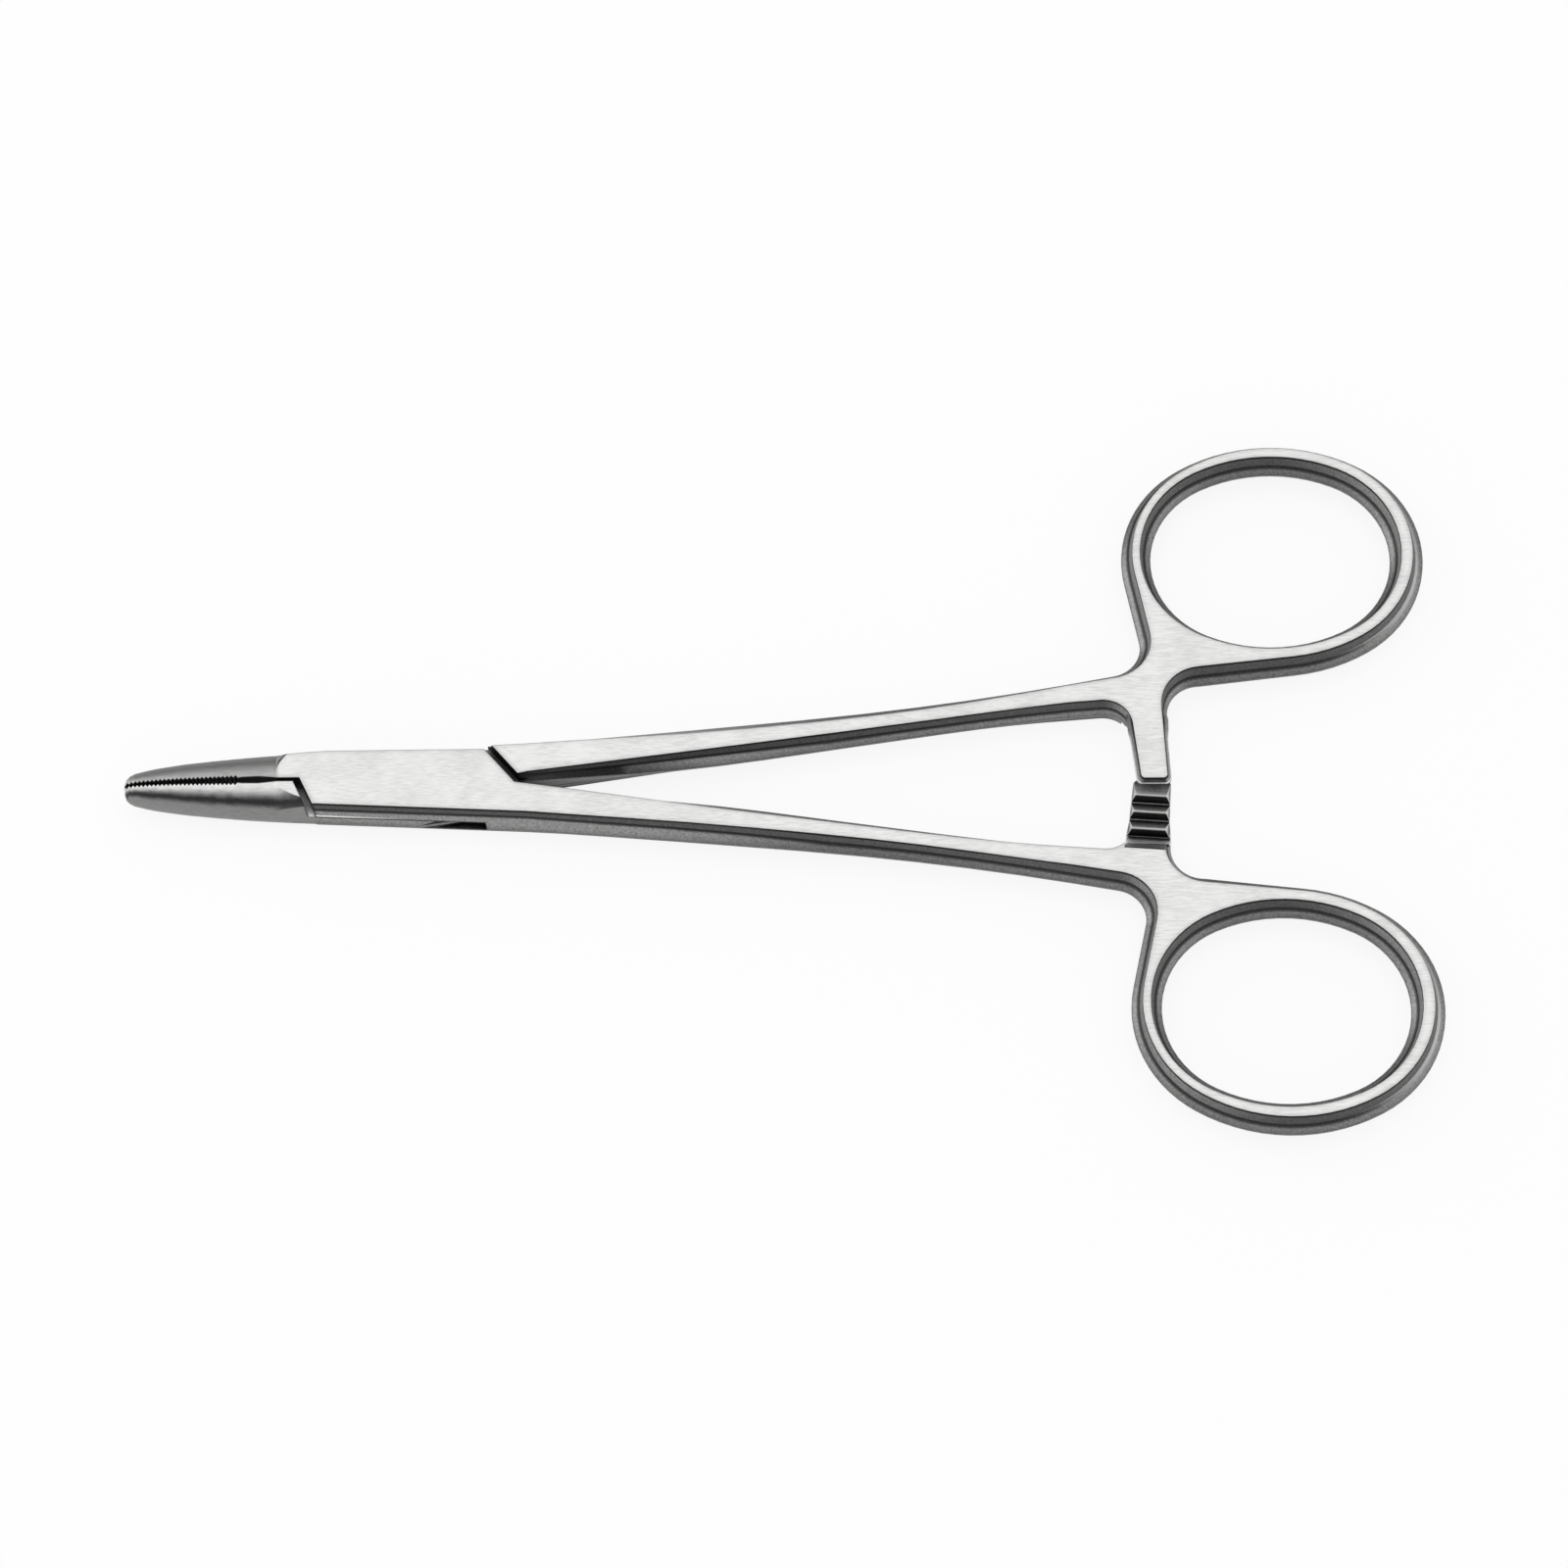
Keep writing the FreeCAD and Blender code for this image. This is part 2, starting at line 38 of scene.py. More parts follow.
def addNode(tree, kind, settings=None, **inputs):  # inputs: a socket to link from, or a value
    node = tree.nodes.new(kind)
    for name, value in (settings or {}).items():
        setattr(node, name, value)
    for name, value in inputs.items():
        key = int(name[1:]) if name[0] == "i" and name[1:].isdigit() else name.replace("_", " ")
        if isinstance(value, bpy.types.NodeSocket):
            tree.links.new(value, node.inputs[key])
        else:
            node.inputs[key].default_value = value
    return node


def newMaterial(name):
    material = bpy.data.materials.new(name)
    material.use_nodes = True
    material.node_tree.nodes.clear()
    return material, material.node_tree


# settings that many nodes share
smooth = {"interpolation_type": "SMOOTHSTEP"}
number = {"data_type": "FLOAT"}
colours = {"data_type": "RGBA"}
plus = {"operation": "ADD"}
minus = {"operation": "SUBTRACT"}
times = {"operation": "MULTIPLY"}
timesPlus = {"operation": "MULTIPLY_ADD"}
absolute = {"operation": "ABSOLUTE"}
larger = {"operation": "MAXIMUM"}
more = {"operation": "GREATER_THAN"}
less = {"operation": "LESS_THAN"}
dot = {"operation": "DOT_PRODUCT"}
falling = {"To_Min": 1.0, "To_Max": 0.0}  # inputs of a range that falls from one to zero


# Forged martensitic stainless steel. The broad flats are ground satin along the instrument, the
# bevels beside them are polished, side walls are bead-blasted, and the jaws and teeth are filed.
# The tones of bevels, walls, jaws, teeth, gaps and the lines along arrises and creases are painted
# shade, highlight and reflection. Heights are counted from the mid-plane, up and down alike.

steelFinish = {
    "tint": "FFFFFE",
    "flat": "FAFAFA",
    "flatShade": "E0E0E0",
    # bevels and walls: painted shade and reflection by the way they face
    "bevelNear": "565656",   # bevels that face -Y
    "bevelFar": "7A7A7A",    # +Y
    "bevelLeft": "8C8C8C",   # -X
    "bevelRight": "6A6A6A",  # +X
    "wall": "8A8A8A",
    "wallLeft": "949494",
    "wallRight": "9A9A9A",
    "wallFoot": 0.80,        # share of its tone that a side wall has at the forging line
    "wallHead": 1.12,        # and higher up
    # jaws: painted shade and reflection by the way they face
    "upperJaw": "CCCCCC",
    "upperJawBack": "727272",
    "lowerJaw": "F2F2F2",
    "jawShadeStripe": "424242",
    "lowerJawSide": "8C8C8C",
    "jawFace": "7C7C7C",     # gripping faces, seen when the jaws open
    # ratchet teeth: painted shade at the foot and on the steep back, painted highlight towards the crest
    "toothFoot": "545454",
    "toothCrest": "C4C4C4",
    "toothBack": "3A3A3A",
    # painted shade of the walls of the box's gaps
    "gapShade": "141414",
    "tongue": "8E8E8E",
    "lineShade": 0.012,       # linear brightness of the painted shade lines along arrises, creases and edges
    # and of the painted highlight lines
    "lineHighlight": 0.88,
    "midHeight": 2.3,        # mm, mid-plane of the instrument
    "jawBlend": (-0.4, 0.2),     # mm along X, round the place where the jaw starts
    "boxEnd": 12.0,          # mm along X
    "boxTop": 2.3,           # mm, height of the flats of the box
    "creaseFrom": (12.0, 1.45),  # mm along X and height of the crease between bevel and wall
    "creaseTo": (42.0, 0.63),
    "creaseShare": 0.85,
    "flatTo": (42.0, 1.68),  # mm along X and height of the flats, from boxEnd and boxTop on
    "handleFrom": 55.0,      # mm along X, where the flats rise again
    "handleTo": (66.0, 0.27),    # mm along X and rise
    "edgeShare": 0.92,
    "ratchet": (71.2, 77.2, 7.2),  # mm, from and to along X, and its reach to both sides
    "toothTop": 1.2,         # mm, the ratchet's teeth lie below this height
    "toothSlope": 0.25,      # least vertical part of the normal of a tooth's ramp
    "armEdge": 1.25,         # mm, height of the lower edge of the narrow bevel on the ratchet arms
    "slotLip": 0.78,         # mm, height of the slot's edges in the near side of the box
    "lipOffset": 0.05,       # mm, from such an edge to the middle of the line along it
    "lipFacing": -0.3,       # greatest Y part of the normal on the near side
    "upright": 0.12,         # greatest vertical part of the normal of an upright wall
    "seamReach": 0.55,       # mm, to both sides of the line where the jaws meet
    "seamFoot": 0.2,         # mm, height above which the walls of the box's gaps get painted shade
    "seamLight": 0.16,       # mm, painted highlight strip at the top of those that face -X
    "teethStart": 28.25,     # mm from the pivot towards -X, outer end of the serrations
    "teethEnd": 16.9,        # and their inner end
    "teethPitch": 0.42,
    "notchReach": 0.10,      # mm, how far the serrations' painted shade reaches at their outer end
    "notchGrowth": 0.0195,   # mm that it reaches further with each mm along X
    "notchRise": 1.2,        # and with each mm of the wave that follows their pitch
    "rivet": 2.1,            # mm, radius of the calm place round the pivot
    "grainWidth": 0.10,      # mm, drawn coarser than the real 0.03 mm scratches so that it shows
    "grainLength": 1.3,
    "grainSlant": 3,         # degrees
    "streakTone": (0.84, 1.14),
    "blotch": 5.0,
    "blotchShare": 0.28,
    "grit": 0.22,            # mm, blasted grain, coarser than the real 0.05 mm
    "gritTone": (0.66, 1.34),
    "edgeShadeWidth": 1.1,          # mm, width over which the flats get painted shade towards their edges
    "edgeShadeTone": 0.76,
    "softEdge": 0.16,        # mm, polished arris beside the flats
    "lineEdge": 0.20,        # mm, line along an arris
    "lineShare": 0.6,
    "crevice": 2.0,          # mm, how far off a neighbour still casts painted shade on the steel
    "creviceTone": 0.12,
    "clearedTone": 0.10,
    "roughness": 0.38,
    "flatRoughness": 0.30,
    "grainRoughness": 0.10,
    "bumpStrength": 0.10,
    "bumpDepth": 0.02,       # mm
}

# where one finish goes over into the next: from, to, and the unit of the two
steelZones = {
    "level": (0.955, 0.985, 1),    # vertical part of the normal
    "wall": (0.41, 0.47, 1),
    "left": (-0.85, 0.0, 1),       # X part
    "right": (0.1, 0.8, 1),
    "far": (-0.2, 0.5, 1),         # Y part
    "jawBack": (-0.1, 0.85, 1),
    "intoBand": (0.14, 0.50, 1),
    "pastBand": (0.54, 0.74, 1),
    "steep": (0.70, 0.85, 1),
    "edgeShade": (0.85, 0.998, 1),    # how well the normal agrees with the rounded one
    "arris": (0.93, 0.998, 1),
    "noise": (0.3, 0.7, 1),
    "blotch": (0.36, 0.60, 1),
    "crevice": (0.20, 0.78, 1),
    "cleared": (0.20, 0.75, 1),
    "outer": (1.30, 1.45, mm),     # heights
    "rim": (0.15, 0.25, mm),
    "foot": (0.15, 0.55, mm),
    "climb": (0.8, 0.1, mm),
    "crest": (0.05, 0.18, mm),     # distances from a line
    "crease": (0.05, 0.24, mm),
    "edge": (0.16, 0.34, mm),
    "armRim": (0.05, 0.14, mm),
    "lip": (0.04, 0.10, mm),
    "armRoot": (4.0, 5.5, mm),     # to both sides of the middle
    "creaseHighlight": (90, 97, mm),          # along X
    "slot": (-7, 0.0, mm),
}
zones = {name: {"From_Min": low * unit, "From_Max": high * unit}
         for name, (low, high, unit) in steelZones.items()}

# for each forged half: mm along X where its jaw starts, the side of the mid-plane and of Y that
# its ratchet teeth are told by, and the side of the slot's edge on which its line runs
halves = {
    "box_lock_half": {"jawStart": -12.9, "toothSide": -1.0, "lipSide": 1.0},
    "tongue_half": {"jawStart": -9.0, "toothSide": 1.0, "lipSide": -1.0},
}


def steelMaterial(name, finish, half):
    material, tree = newMaterial(name)
    coords = addNode(tree, "ShaderNodeTexCoord").outputs
    place = coords["Object"]
    x, y, z = addNode(tree, "ShaderNodeSeparateXYZ", Vector=place).outputs
    nx, ny, nz = addNode(tree, "ShaderNodeSeparateXYZ", Vector=coords["Normal"]).outputs
    geometry = addNode(tree, "ShaderNodeNewGeometry").outputs
    up = addNode(tree, "ShaderNodeMath", absolute, i0=nz).outputs[0]
    above = addNode(tree, "ShaderNodeMath", minus, i0=z, i1=finish["midHeight"] * mm).outputs[0]
    height = addNode(tree, "ShaderNodeMath", absolute, i0=above).outputs[0]
    aside = addNode(tree, "ShaderNodeMath", absolute, i0=y).outputs[0]

    # grain drawn out along X, slow blotches, fine grit
    fine = 1 / (finish["grainWidth"] * mm)
    drawn = addNode(tree, "ShaderNodeMapping", Vector=place,
                    Rotation=(0, 0, math.radians(finish["grainSlant"])),
                    Scale=(1 / (finish["grainLength"] * mm), fine, fine)).outputs[0]
    grain = addNode(tree, "ShaderNodeTexNoise", Vector=drawn, Scale=1.0, Detail=3.0,
                    Roughness=0.65).outputs[0]
    blotch = addNode(tree, "ShaderNodeTexNoise", Vector=place, Scale=1 / (finish["blotch"] * mm),
                     Detail=3.0, Roughness=0.6).outputs[0]
    grit = addNode(tree, "ShaderNodeTexNoise", Vector=place, Scale=1 / (finish["grit"] * mm),
                   Detail=2.0, Roughness=0.8).outputs[0]
    gritGain = addNode(tree, "ShaderNodeMapRange", Value=grit, **zones["noise"],
                       To_Min=finish["gritTone"][0], To_Max=finish["gritTone"][1]).outputs[0]
    streak = addNode(tree, "ShaderNodeMapRange", Value=grain, **zones["noise"],
                     To_Min=finish["streakTone"][0], To_Max=finish["streakTone"][1]).outputs[0]

    # where each finish lies
    isLevel = addNode(tree, "ShaderNodeMapRange", smooth, Value=up, **zones["level"]).outputs[0]
    isOuter = addNode(tree, "ShaderNodeMapRange", smooth, Value=height, **zones["outer"]).outputs[0]
    isBody = addNode(tree, "ShaderNodeMapRange", smooth, Value=x,
                     From_Min=(half["jawStart"] + finish["jawBlend"][0]) * mm,
                     From_Max=(half["jawStart"] + finish["jawBlend"][1]) * mm).outputs[0]
    outerLevel = addNode(tree, "ShaderNodeMath", times, i0=isLevel, i1=isOuter).outputs[0]
    isFlat = addNode(tree, "ShaderNodeMath", times, i0=outerLevel, i1=isBody).outputs[0]
    isInner = addNode(tree, "ShaderNodeMath", minus, i0=isLevel, i1=outerLevel).outputs[0]
    innerBody = addNode(tree, "ShaderNodeMath", times, i0=isInner, i1=isBody).outputs[0]
    isWall = addNode(tree, "ShaderNodeMapRange", smooth, Value=up, **zones["wall"]).outputs[0]
    isRim = addNode(tree, "ShaderNodeMapRange", smooth, Value=height, **zones["rim"],
                    **falling).outputs[0]
    isWall = addNode(tree, "ShaderNodeMath", larger, i0=isWall, i1=isRim).outputs[0]
    isLeft = addNode(tree, "ShaderNodeMapRange", smooth, Value=nx, **zones["left"],
                     **falling).outputs[0]
    isRight = addNode(tree, "ShaderNodeMapRange", smooth, Value=nx, **zones["right"]).outputs[0]
    isFar = addNode(tree, "ShaderNodeMapRange", smooth, Value=ny, **zones["far"]).outputs[0]

    # flats: grain over blotches, with painted shade a little darker towards their edges
    flatMix = addNode(tree, "ShaderNodeMix", number, i0=finish["blotchShare"], i2=grain,
                      i3=blotch).outputs[0]
    flatTone = addNode(tree, "ShaderNodeMapRange", smooth, Value=flatMix, **zones["blotch"],
                       To_Min=tone(finish["flatShade"]), To_Max=tone(finish["flat"])).outputs[0]
    wide = addNode(tree, "ShaderNodeBevel", {"samples": 8}, Radius=finish["edgeShadeWidth"] * mm).outputs[0]
    lean = addNode(tree, "ShaderNodeVectorMath", dot, i0=wide, i1=geometry["Normal"]).outputs["Value"]
    edgeShade = addNode(tree, "ShaderNodeMapRange", Value=lean, **zones["edgeShade"],
                     To_Min=finish["edgeShadeTone"], To_Max=1.0).outputs[0]
    edgeShadedTone = addNode(tree, "ShaderNodeMath", times, i0=flatTone, i1=edgeShade).outputs[0]

    # bevels and walls: painted shade and reflection, set by the way they face; the walls are also darker
    # towards the mid-plane
    bevel = addNode(tree, "ShaderNodeMix", number, i0=isFar, i2=tone(finish["bevelNear"]),
                    i3=tone(finish["bevelFar"])).outputs[0]
    bevel = addNode(tree, "ShaderNodeMix", number, i0=isRight, i2=bevel,
                    i3=tone(finish["bevelRight"])).outputs[0]
    bevel = addNode(tree, "ShaderNodeMix", number, i0=isLeft, i2=bevel,
                    i3=tone(finish["bevelLeft"])).outputs[0]
    wall = addNode(tree, "ShaderNodeMix", number, i0=isLeft, i2=tone(finish["wall"]),
                   i3=tone(finish["wallLeft"])).outputs[0]
    wall = addNode(tree, "ShaderNodeMix", number, i0=isRight, i2=wall,
                   i3=tone(finish["wallRight"])).outputs[0]
    foot = addNode(tree, "ShaderNodeMapRange", Value=height, **zones["foot"],
                   To_Min=finish["wallFoot"], To_Max=finish["wallHead"]).outputs[0]
    wall = addNode(tree, "ShaderNodeMath", times, i0=wall, i1=foot).outputs[0]
    sides = addNode(tree, "ShaderNodeMix", number, i0=isWall, i2=bevel, i3=wall).outputs[0]
    sides = addNode(tree, "ShaderNodeMath", times, i0=sides, i1=gritGain).outputs[0]

    # painted shade along the crease between bevel and wall, and a painted highlight on it where it faces
    # +X between 90 and 97 mm along X
    crease = addNode(tree, "ShaderNodeMapRange", Value=x, From_Min=finish["creaseFrom"][0] * mm,
                     From_Max=finish["creaseTo"][0] * mm, To_Min=finish["creaseFrom"][1] * mm,
                     To_Max=finish["creaseTo"][1] * mm).outputs[0]
    offCrease = addNode(tree, "ShaderNodeMath", minus, i0=height, i1=crease).outputs[0]
    offCrease = addNode(tree, "ShaderNodeMath", absolute, i0=offCrease).outputs[0]
    isCrease = addNode(tree, "ShaderNodeMapRange", smooth, Value=offCrease, **zones["crease"],
                       To_Min=finish["creaseShare"], To_Max=0.0).outputs[0]
    isCreaseHighlight = addNode(tree, "ShaderNodeMapRange", smooth, Value=x, **zones["creaseHighlight"]).outputs[0]
    isCreaseHighlight = addNode(tree, "ShaderNodeMath", times, i0=isCreaseHighlight, i1=isRight).outputs[0]
    creaseTone = addNode(tree, "ShaderNodeMix", number, i0=isCreaseHighlight, i2=finish["lineShade"],
                         i3=finish["lineHighlight"]).outputs[0]
    sides = addNode(tree, "ShaderNodeMix", number, i0=isCrease, i2=sides, i3=creaseTone).outputs[0]

    # painted shade line where the bevel meets the flat
    top = addNode(tree, "ShaderNodeMapRange", Value=x, From_Min=finish["boxEnd"] * mm,
                  From_Max=finish["flatTo"][0] * mm, To_Min=finish["boxTop"] * mm,
                  To_Max=finish["flatTo"][1] * mm).outputs[0]
    rise = addNode(tree, "ShaderNodeMapRange", Value=x, From_Min=finish["handleFrom"] * mm,
                   From_Max=finish["handleTo"][0] * mm, To_Max=finish["handleTo"][1] * mm).outputs[0]
    top = addNode(tree, "ShaderNodeMath", plus, i0=top, i1=rise).outputs[0]
    belowTop = addNode(tree, "ShaderNodeMath", minus, i0=top, i1=height).outputs[0]
    isEdge = addNode(tree, "ShaderNodeMapRange", smooth, Value=belowTop, **zones["edge"],
                     To_Min=finish["edgeShare"], To_Max=0.0).outputs[0]
    sides = addNode(tree, "ShaderNodeMix", number, i0=isEdge, i2=sides,
                    i3=finish["lineShade"]).outputs[0]

    # painted shade and reflection by the way the jaws face: upper jaw darkens away from where the jaws
    # meet, lower jaw has a dark band where it turns down
    back = addNode(tree, "ShaderNodeMapRange", smooth, Value=ny, **zones["jawBack"]).outputs[0]
    upperJaw = addNode(tree, "ShaderNodeMix", number, i0=back, i2=tone(finish["upperJaw"]),
                       i3=tone(finish["upperJawBack"])).outputs[0]
    turn = addNode(tree, "ShaderNodeMath", times, i0=ny, i1=-1.0).outputs[0]
    intoBand = addNode(tree, "ShaderNodeMapRange", smooth, Value=turn, **zones["intoBand"]).outputs[0]
    pastBand = addNode(tree, "ShaderNodeMapRange", smooth, Value=turn, **zones["pastBand"]).outputs[0]
    lowerJaw = addNode(tree, "ShaderNodeMix", number, i0=intoBand, i2=tone(finish["lowerJaw"]),
                       i3=tone(finish["jawShadeStripe"])).outputs[0]
    lowerJaw = addNode(tree, "ShaderNodeMix", number, i0=pastBand, i2=lowerJaw,
                       i3=tone(finish["lowerJawSide"])).outputs[0]
    isUpper = addNode(tree, "ShaderNodeMath", more, i0=y, i1=0.0).outputs[0]
    jaws = addNode(tree, "ShaderNodeMix", number, i0=isUpper, i2=lowerJaw, i3=upperJaw).outputs[0]
    jaws = addNode(tree, "ShaderNodeMath", times, i0=jaws, i1=streak).outputs[0]

    # painted shade of the serrations along the jaw's edge, in step with their pitch
    along = addNode(tree, "ShaderNodeMath", plus, i0=x, i1=finish["teethStart"] * mm).outputs[0]
    wave = addNode(tree, "ShaderNodeMath", {"operation": "PINGPONG"}, i0=along,
                   i1=finish["teethPitch"] / 2 * mm).outputs[0]
    reach = addNode(tree, "ShaderNodeMath", timesPlus, i0=along, i1=finish["notchGrowth"],
                    i2=finish["notchReach"] * mm).outputs[0]
    reach = addNode(tree, "ShaderNodeMath", timesPlus, i0=wave, i1=finish["notchRise"],
                    i2=reach).outputs[0]
    isNotchShade = addNode(tree, "ShaderNodeMath", less, i0=aside, i1=reach).outputs[0]
    serrated = addNode(tree, "ShaderNodeMath", less, i0=x, i1=-finish["teethEnd"] * mm).outputs[0]
    isNotchShade = addNode(tree, "ShaderNodeMath", times, i0=isNotchShade, i1=serrated).outputs[0]
    jaws = addNode(tree, "ShaderNodeMix", number, i0=isNotchShade, i2=jaws,
                   i3=finish["lineShade"]).outputs[0]

    # ratchet: painted shade and highlight on the filed teeth, ramps that brighten to their crests and
    # black steep faces
    start, end, span = finish["ratchet"]
    pastStart = addNode(tree, "ShaderNodeMath", more, i0=x, i1=start * mm).outputs[0]
    beforeEnd = addNode(tree, "ShaderNodeMath", less, i0=x, i1=end * mm).outputs[0]
    withinSpan = addNode(tree, "ShaderNodeMath", less, i0=aside, i1=span * mm).outputs[0]
    isArm = addNode(tree, "ShaderNodeMath", times, i0=pastStart, i1=beforeEnd).outputs[0]
    isArm = addNode(tree, "ShaderNodeMath", times, i0=isArm, i1=withinSpan).outputs[0]
    isLow = addNode(tree, "ShaderNodeMath", less, i0=height, i1=finish["toothTop"] * mm).outputs[0]
    toothUp = addNode(tree, "ShaderNodeMath", times, i0=nz, i1=-half["toothSide"]).outputs[0]
    isSloped = addNode(tree, "ShaderNodeMath", more, i0=toothUp, i1=finish["toothSlope"]).outputs[0]
    isTeeth = addNode(tree, "ShaderNodeMath", times, i0=isArm, i1=isLow).outputs[0]
    isTeeth = addNode(tree, "ShaderNodeMath", times, i0=isTeeth, i1=isSloped).outputs[0]
    facing = addNode(tree, "ShaderNodeMath", times, i0=ny, i1=half["toothSide"]).outputs[0]
    isSteep = addNode(tree, "ShaderNodeMapRange", smooth, Value=facing, **zones["steep"]).outputs[0]
    climb = addNode(tree, "ShaderNodeMapRange", smooth, Value=height, **zones["climb"]).outputs[0]
    ramp = addNode(tree, "ShaderNodeMix", number, i0=climb, i2=tone(finish["toothFoot"]),
                   i3=tone(finish["toothCrest"])).outputs[0]
    teeth = addNode(tree, "ShaderNodeMix", number, i0=isSteep, i2=ramp,
                    i3=tone(finish["toothBack"])).outputs[0]
    teeth = addNode(tree, "ShaderNodeMath", times, i0=teeth, i1=gritGain).outputs[0]
    # painted highlight along the crests
    fromCrest = addNode(tree, "ShaderNodeMath", times, i0=above, i1=half["toothSide"]).outputs[0]
    isCrest = addNode(tree, "ShaderNodeMapRange", smooth, Value=fromCrest, **zones["crest"],
                      **falling).outputs[0]
    isCrest = addNode(tree, "ShaderNodeMath", times, i0=isCrest, i1=isTeeth).outputs[0]

    # painted highlight: bright rim under the narrow bevel of the ratchet arms, away from their roots
    offArmEdge = addNode(tree, "ShaderNodeMath", minus, i0=height, i1=finish["armEdge"] * mm).outputs[0]
    offArmEdge = addNode(tree, "ShaderNodeMath", absolute, i0=offArmEdge).outputs[0]
    isArmRim = addNode(tree, "ShaderNodeMapRange", smooth, Value=offArmEdge, **zones["armRim"],
                       **falling).outputs[0]
    isArmRim = addNode(tree, "ShaderNodeMath", times, i0=isArmRim, i1=isArm).outputs[0]
    offRoot = addNode(tree, "ShaderNodeMapRange", smooth, Value=aside, **zones["armRoot"],
                      **falling).outputs[0]
    isArmRim = addNode(tree, "ShaderNodeMath", times, i0=isArmRim, i1=offRoot).outputs[0]

    # seams: the upright walls of the gaps in the box lock get painted shade, with a painted highlight
    # strip at the top of those that face -X, and the jaw faces keep their steel tone
    isUpright = addNode(tree, "ShaderNodeMath", less, i0=up, i1=finish["upright"]).outputs[0]
    inBox = addNode(tree, "ShaderNodeMath", less, i0=x, i1=finish["boxEnd"] * mm).outputs[0]
    nearSeam = addNode(tree, "ShaderNodeMath", less, i0=aside, i1=finish["seamReach"] * mm).outputs[0]
    offRim = addNode(tree, "ShaderNodeMath", more, i0=height, i1=finish["seamFoot"] * mm).outputs[0]
    boxWall = addNode(tree, "ShaderNodeMath", times, i0=isBody, i1=offRim).outputs[0]
    isSeam = addNode(tree, "ShaderNodeMath", larger, i0=boxWall, i1=nearSeam).outputs[0]
    isSeam = addNode(tree, "ShaderNodeMath", times, i0=isSeam, i1=isUpright).outputs[0]
    isSeam = addNode(tree, "ShaderNodeMath", times, i0=isSeam, i1=inBox).outputs[0]
    isTop = addNode(tree, "ShaderNodeMath", more, i0=height,
                    i1=(finish["boxTop"] - finish["seamLight"]) * mm).outputs[0]
    isTopLeft = addNode(tree, "ShaderNodeMath", times, i0=isTop, i1=isLeft).outputs[0]
    seamTone = addNode(tree, "ShaderNodeMix", number, i0=isTopLeft, i2=tone(finish["gapShade"]),
                       i3=finish["lineHighlight"]).outputs[0]
    jawFace = addNode(tree, "ShaderNodeMath", times, i0=gritGain, i1=tone(finish["jawFace"])).outputs[0]
    seamTone = addNode(tree, "ShaderNodeMix", number, i0=isBody, i2=jawFace, i3=seamTone).outputs[0]
    tongue = addNode(tree, "ShaderNodeMath", times, i0=tone(finish["tongue"]), i1=gritGain).outputs[0]

    shade = addNode(tree, "ShaderNodeMix", number, i0=isBody, i2=jaws, i3=sides).outputs[0]
    shade = addNode(tree, "ShaderNodeMix", number, i0=isFlat, i2=shade, i3=edgeShadedTone).outputs[0]
    shade = addNode(tree, "ShaderNodeMix", number, i0=innerBody, i2=shade, i3=tongue).outputs[0]
    shade = addNode(tree, "ShaderNodeMix", number, i0=isTeeth, i2=shade, i3=teeth).outputs[0]
    shade = addNode(tree, "ShaderNodeMix", number, i0=isSeam, i2=shade, i3=seamTone).outputs[0]

    # arrises: painted shade lines along the bevels and walls, painted highlights on the teeth
    line = addNode(tree, "ShaderNodeBevel", {"samples": 6}, Radius=finish["lineEdge"] * mm).outputs[0]
    match = addNode(tree, "ShaderNodeVectorMath", dot, i0=line, i1=geometry["Normal"]).outputs["Value"]
    isArris = addNode(tree, "ShaderNodeMapRange", smooth, Value=match, **zones["arris"],
                      **falling).outputs[0]
    offFlat = addNode(tree, "ShaderNodeMath", minus, i0=1.0, i1=isFlat).outputs[0]
    offSeam = addNode(tree, "ShaderNodeMath", minus, i0=offFlat, i1=isSeam).outputs[0]
    isArris = addNode(tree, "ShaderNodeMath", times, i0=isArris, i1=offSeam).outputs[0]
    arris = addNode(tree, "ShaderNodeMix", number, i0=isTeeth, i2=finish["lineShade"],
                    i3=finish["lineHighlight"]).outputs[0]
    share = addNode(tree, "ShaderNodeMix", number, i0=isTeeth, i2=finish["lineShare"],
                    i3=1.0).outputs[0]
    share = addNode(tree, "ShaderNodeMath", {"operation": "MULTIPLY", "use_clamp": True}, i0=isArris,
                    i1=share).outputs[0]
    shade = addNode(tree, "ShaderNodeMix", number, i0=share, i2=shade, i3=arris).outputs[0]

    # lips of the slot in the near side of the box: a painted highlight on the half with the box, a
    # painted shadow line on the one with the tongue, fading towards the pivot
    lipRise = addNode(tree, "ShaderNodeMath", minus, i0=height, i1=finish["slotLip"] * mm).outputs[0]
    lipRise = addNode(tree, "ShaderNodeMath", times, i0=lipRise, i1=half["lipSide"]).outputs[0]
    lipRise = addNode(tree, "ShaderNodeMath", minus, i0=lipRise, i1=finish["lipOffset"] * mm).outputs[0]
    offLip = addNode(tree, "ShaderNodeMath", absolute, i0=lipRise).outputs[0]
    isLip = addNode(tree, "ShaderNodeMapRange", smooth, Value=offLip, **zones["lip"],
                    **falling).outputs[0]
    isNear = addNode(tree, "ShaderNodeMath", less, i0=ny, i1=finish["lipFacing"]).outputs[0]
    isLip = addNode(tree, "ShaderNodeMath", times, i0=isLip, i1=isNear).outputs[0]
    ahead = addNode(tree, "ShaderNodeMapRange", Value=x, **zones["slot"], **falling).outputs[0]
    isLip = addNode(tree, "ShaderNodeMath", times, i0=isLip, i1=ahead).outputs[0]
    isLip = addNode(tree, "ShaderNodeMath", times, i0=isLip, i1=isWall).outputs[0]
    isLip = addNode(tree, "ShaderNodeMath", times, i0=isLip, i1=isBody).outputs[0]
    lipTone = finish["lineHighlight"] if half["lipSide"] > 0 else finish["lineShade"]
    shade = addNode(tree, "ShaderNodeMix", number, i0=isLip, i2=shade, i3=lipTone).outputs[0]
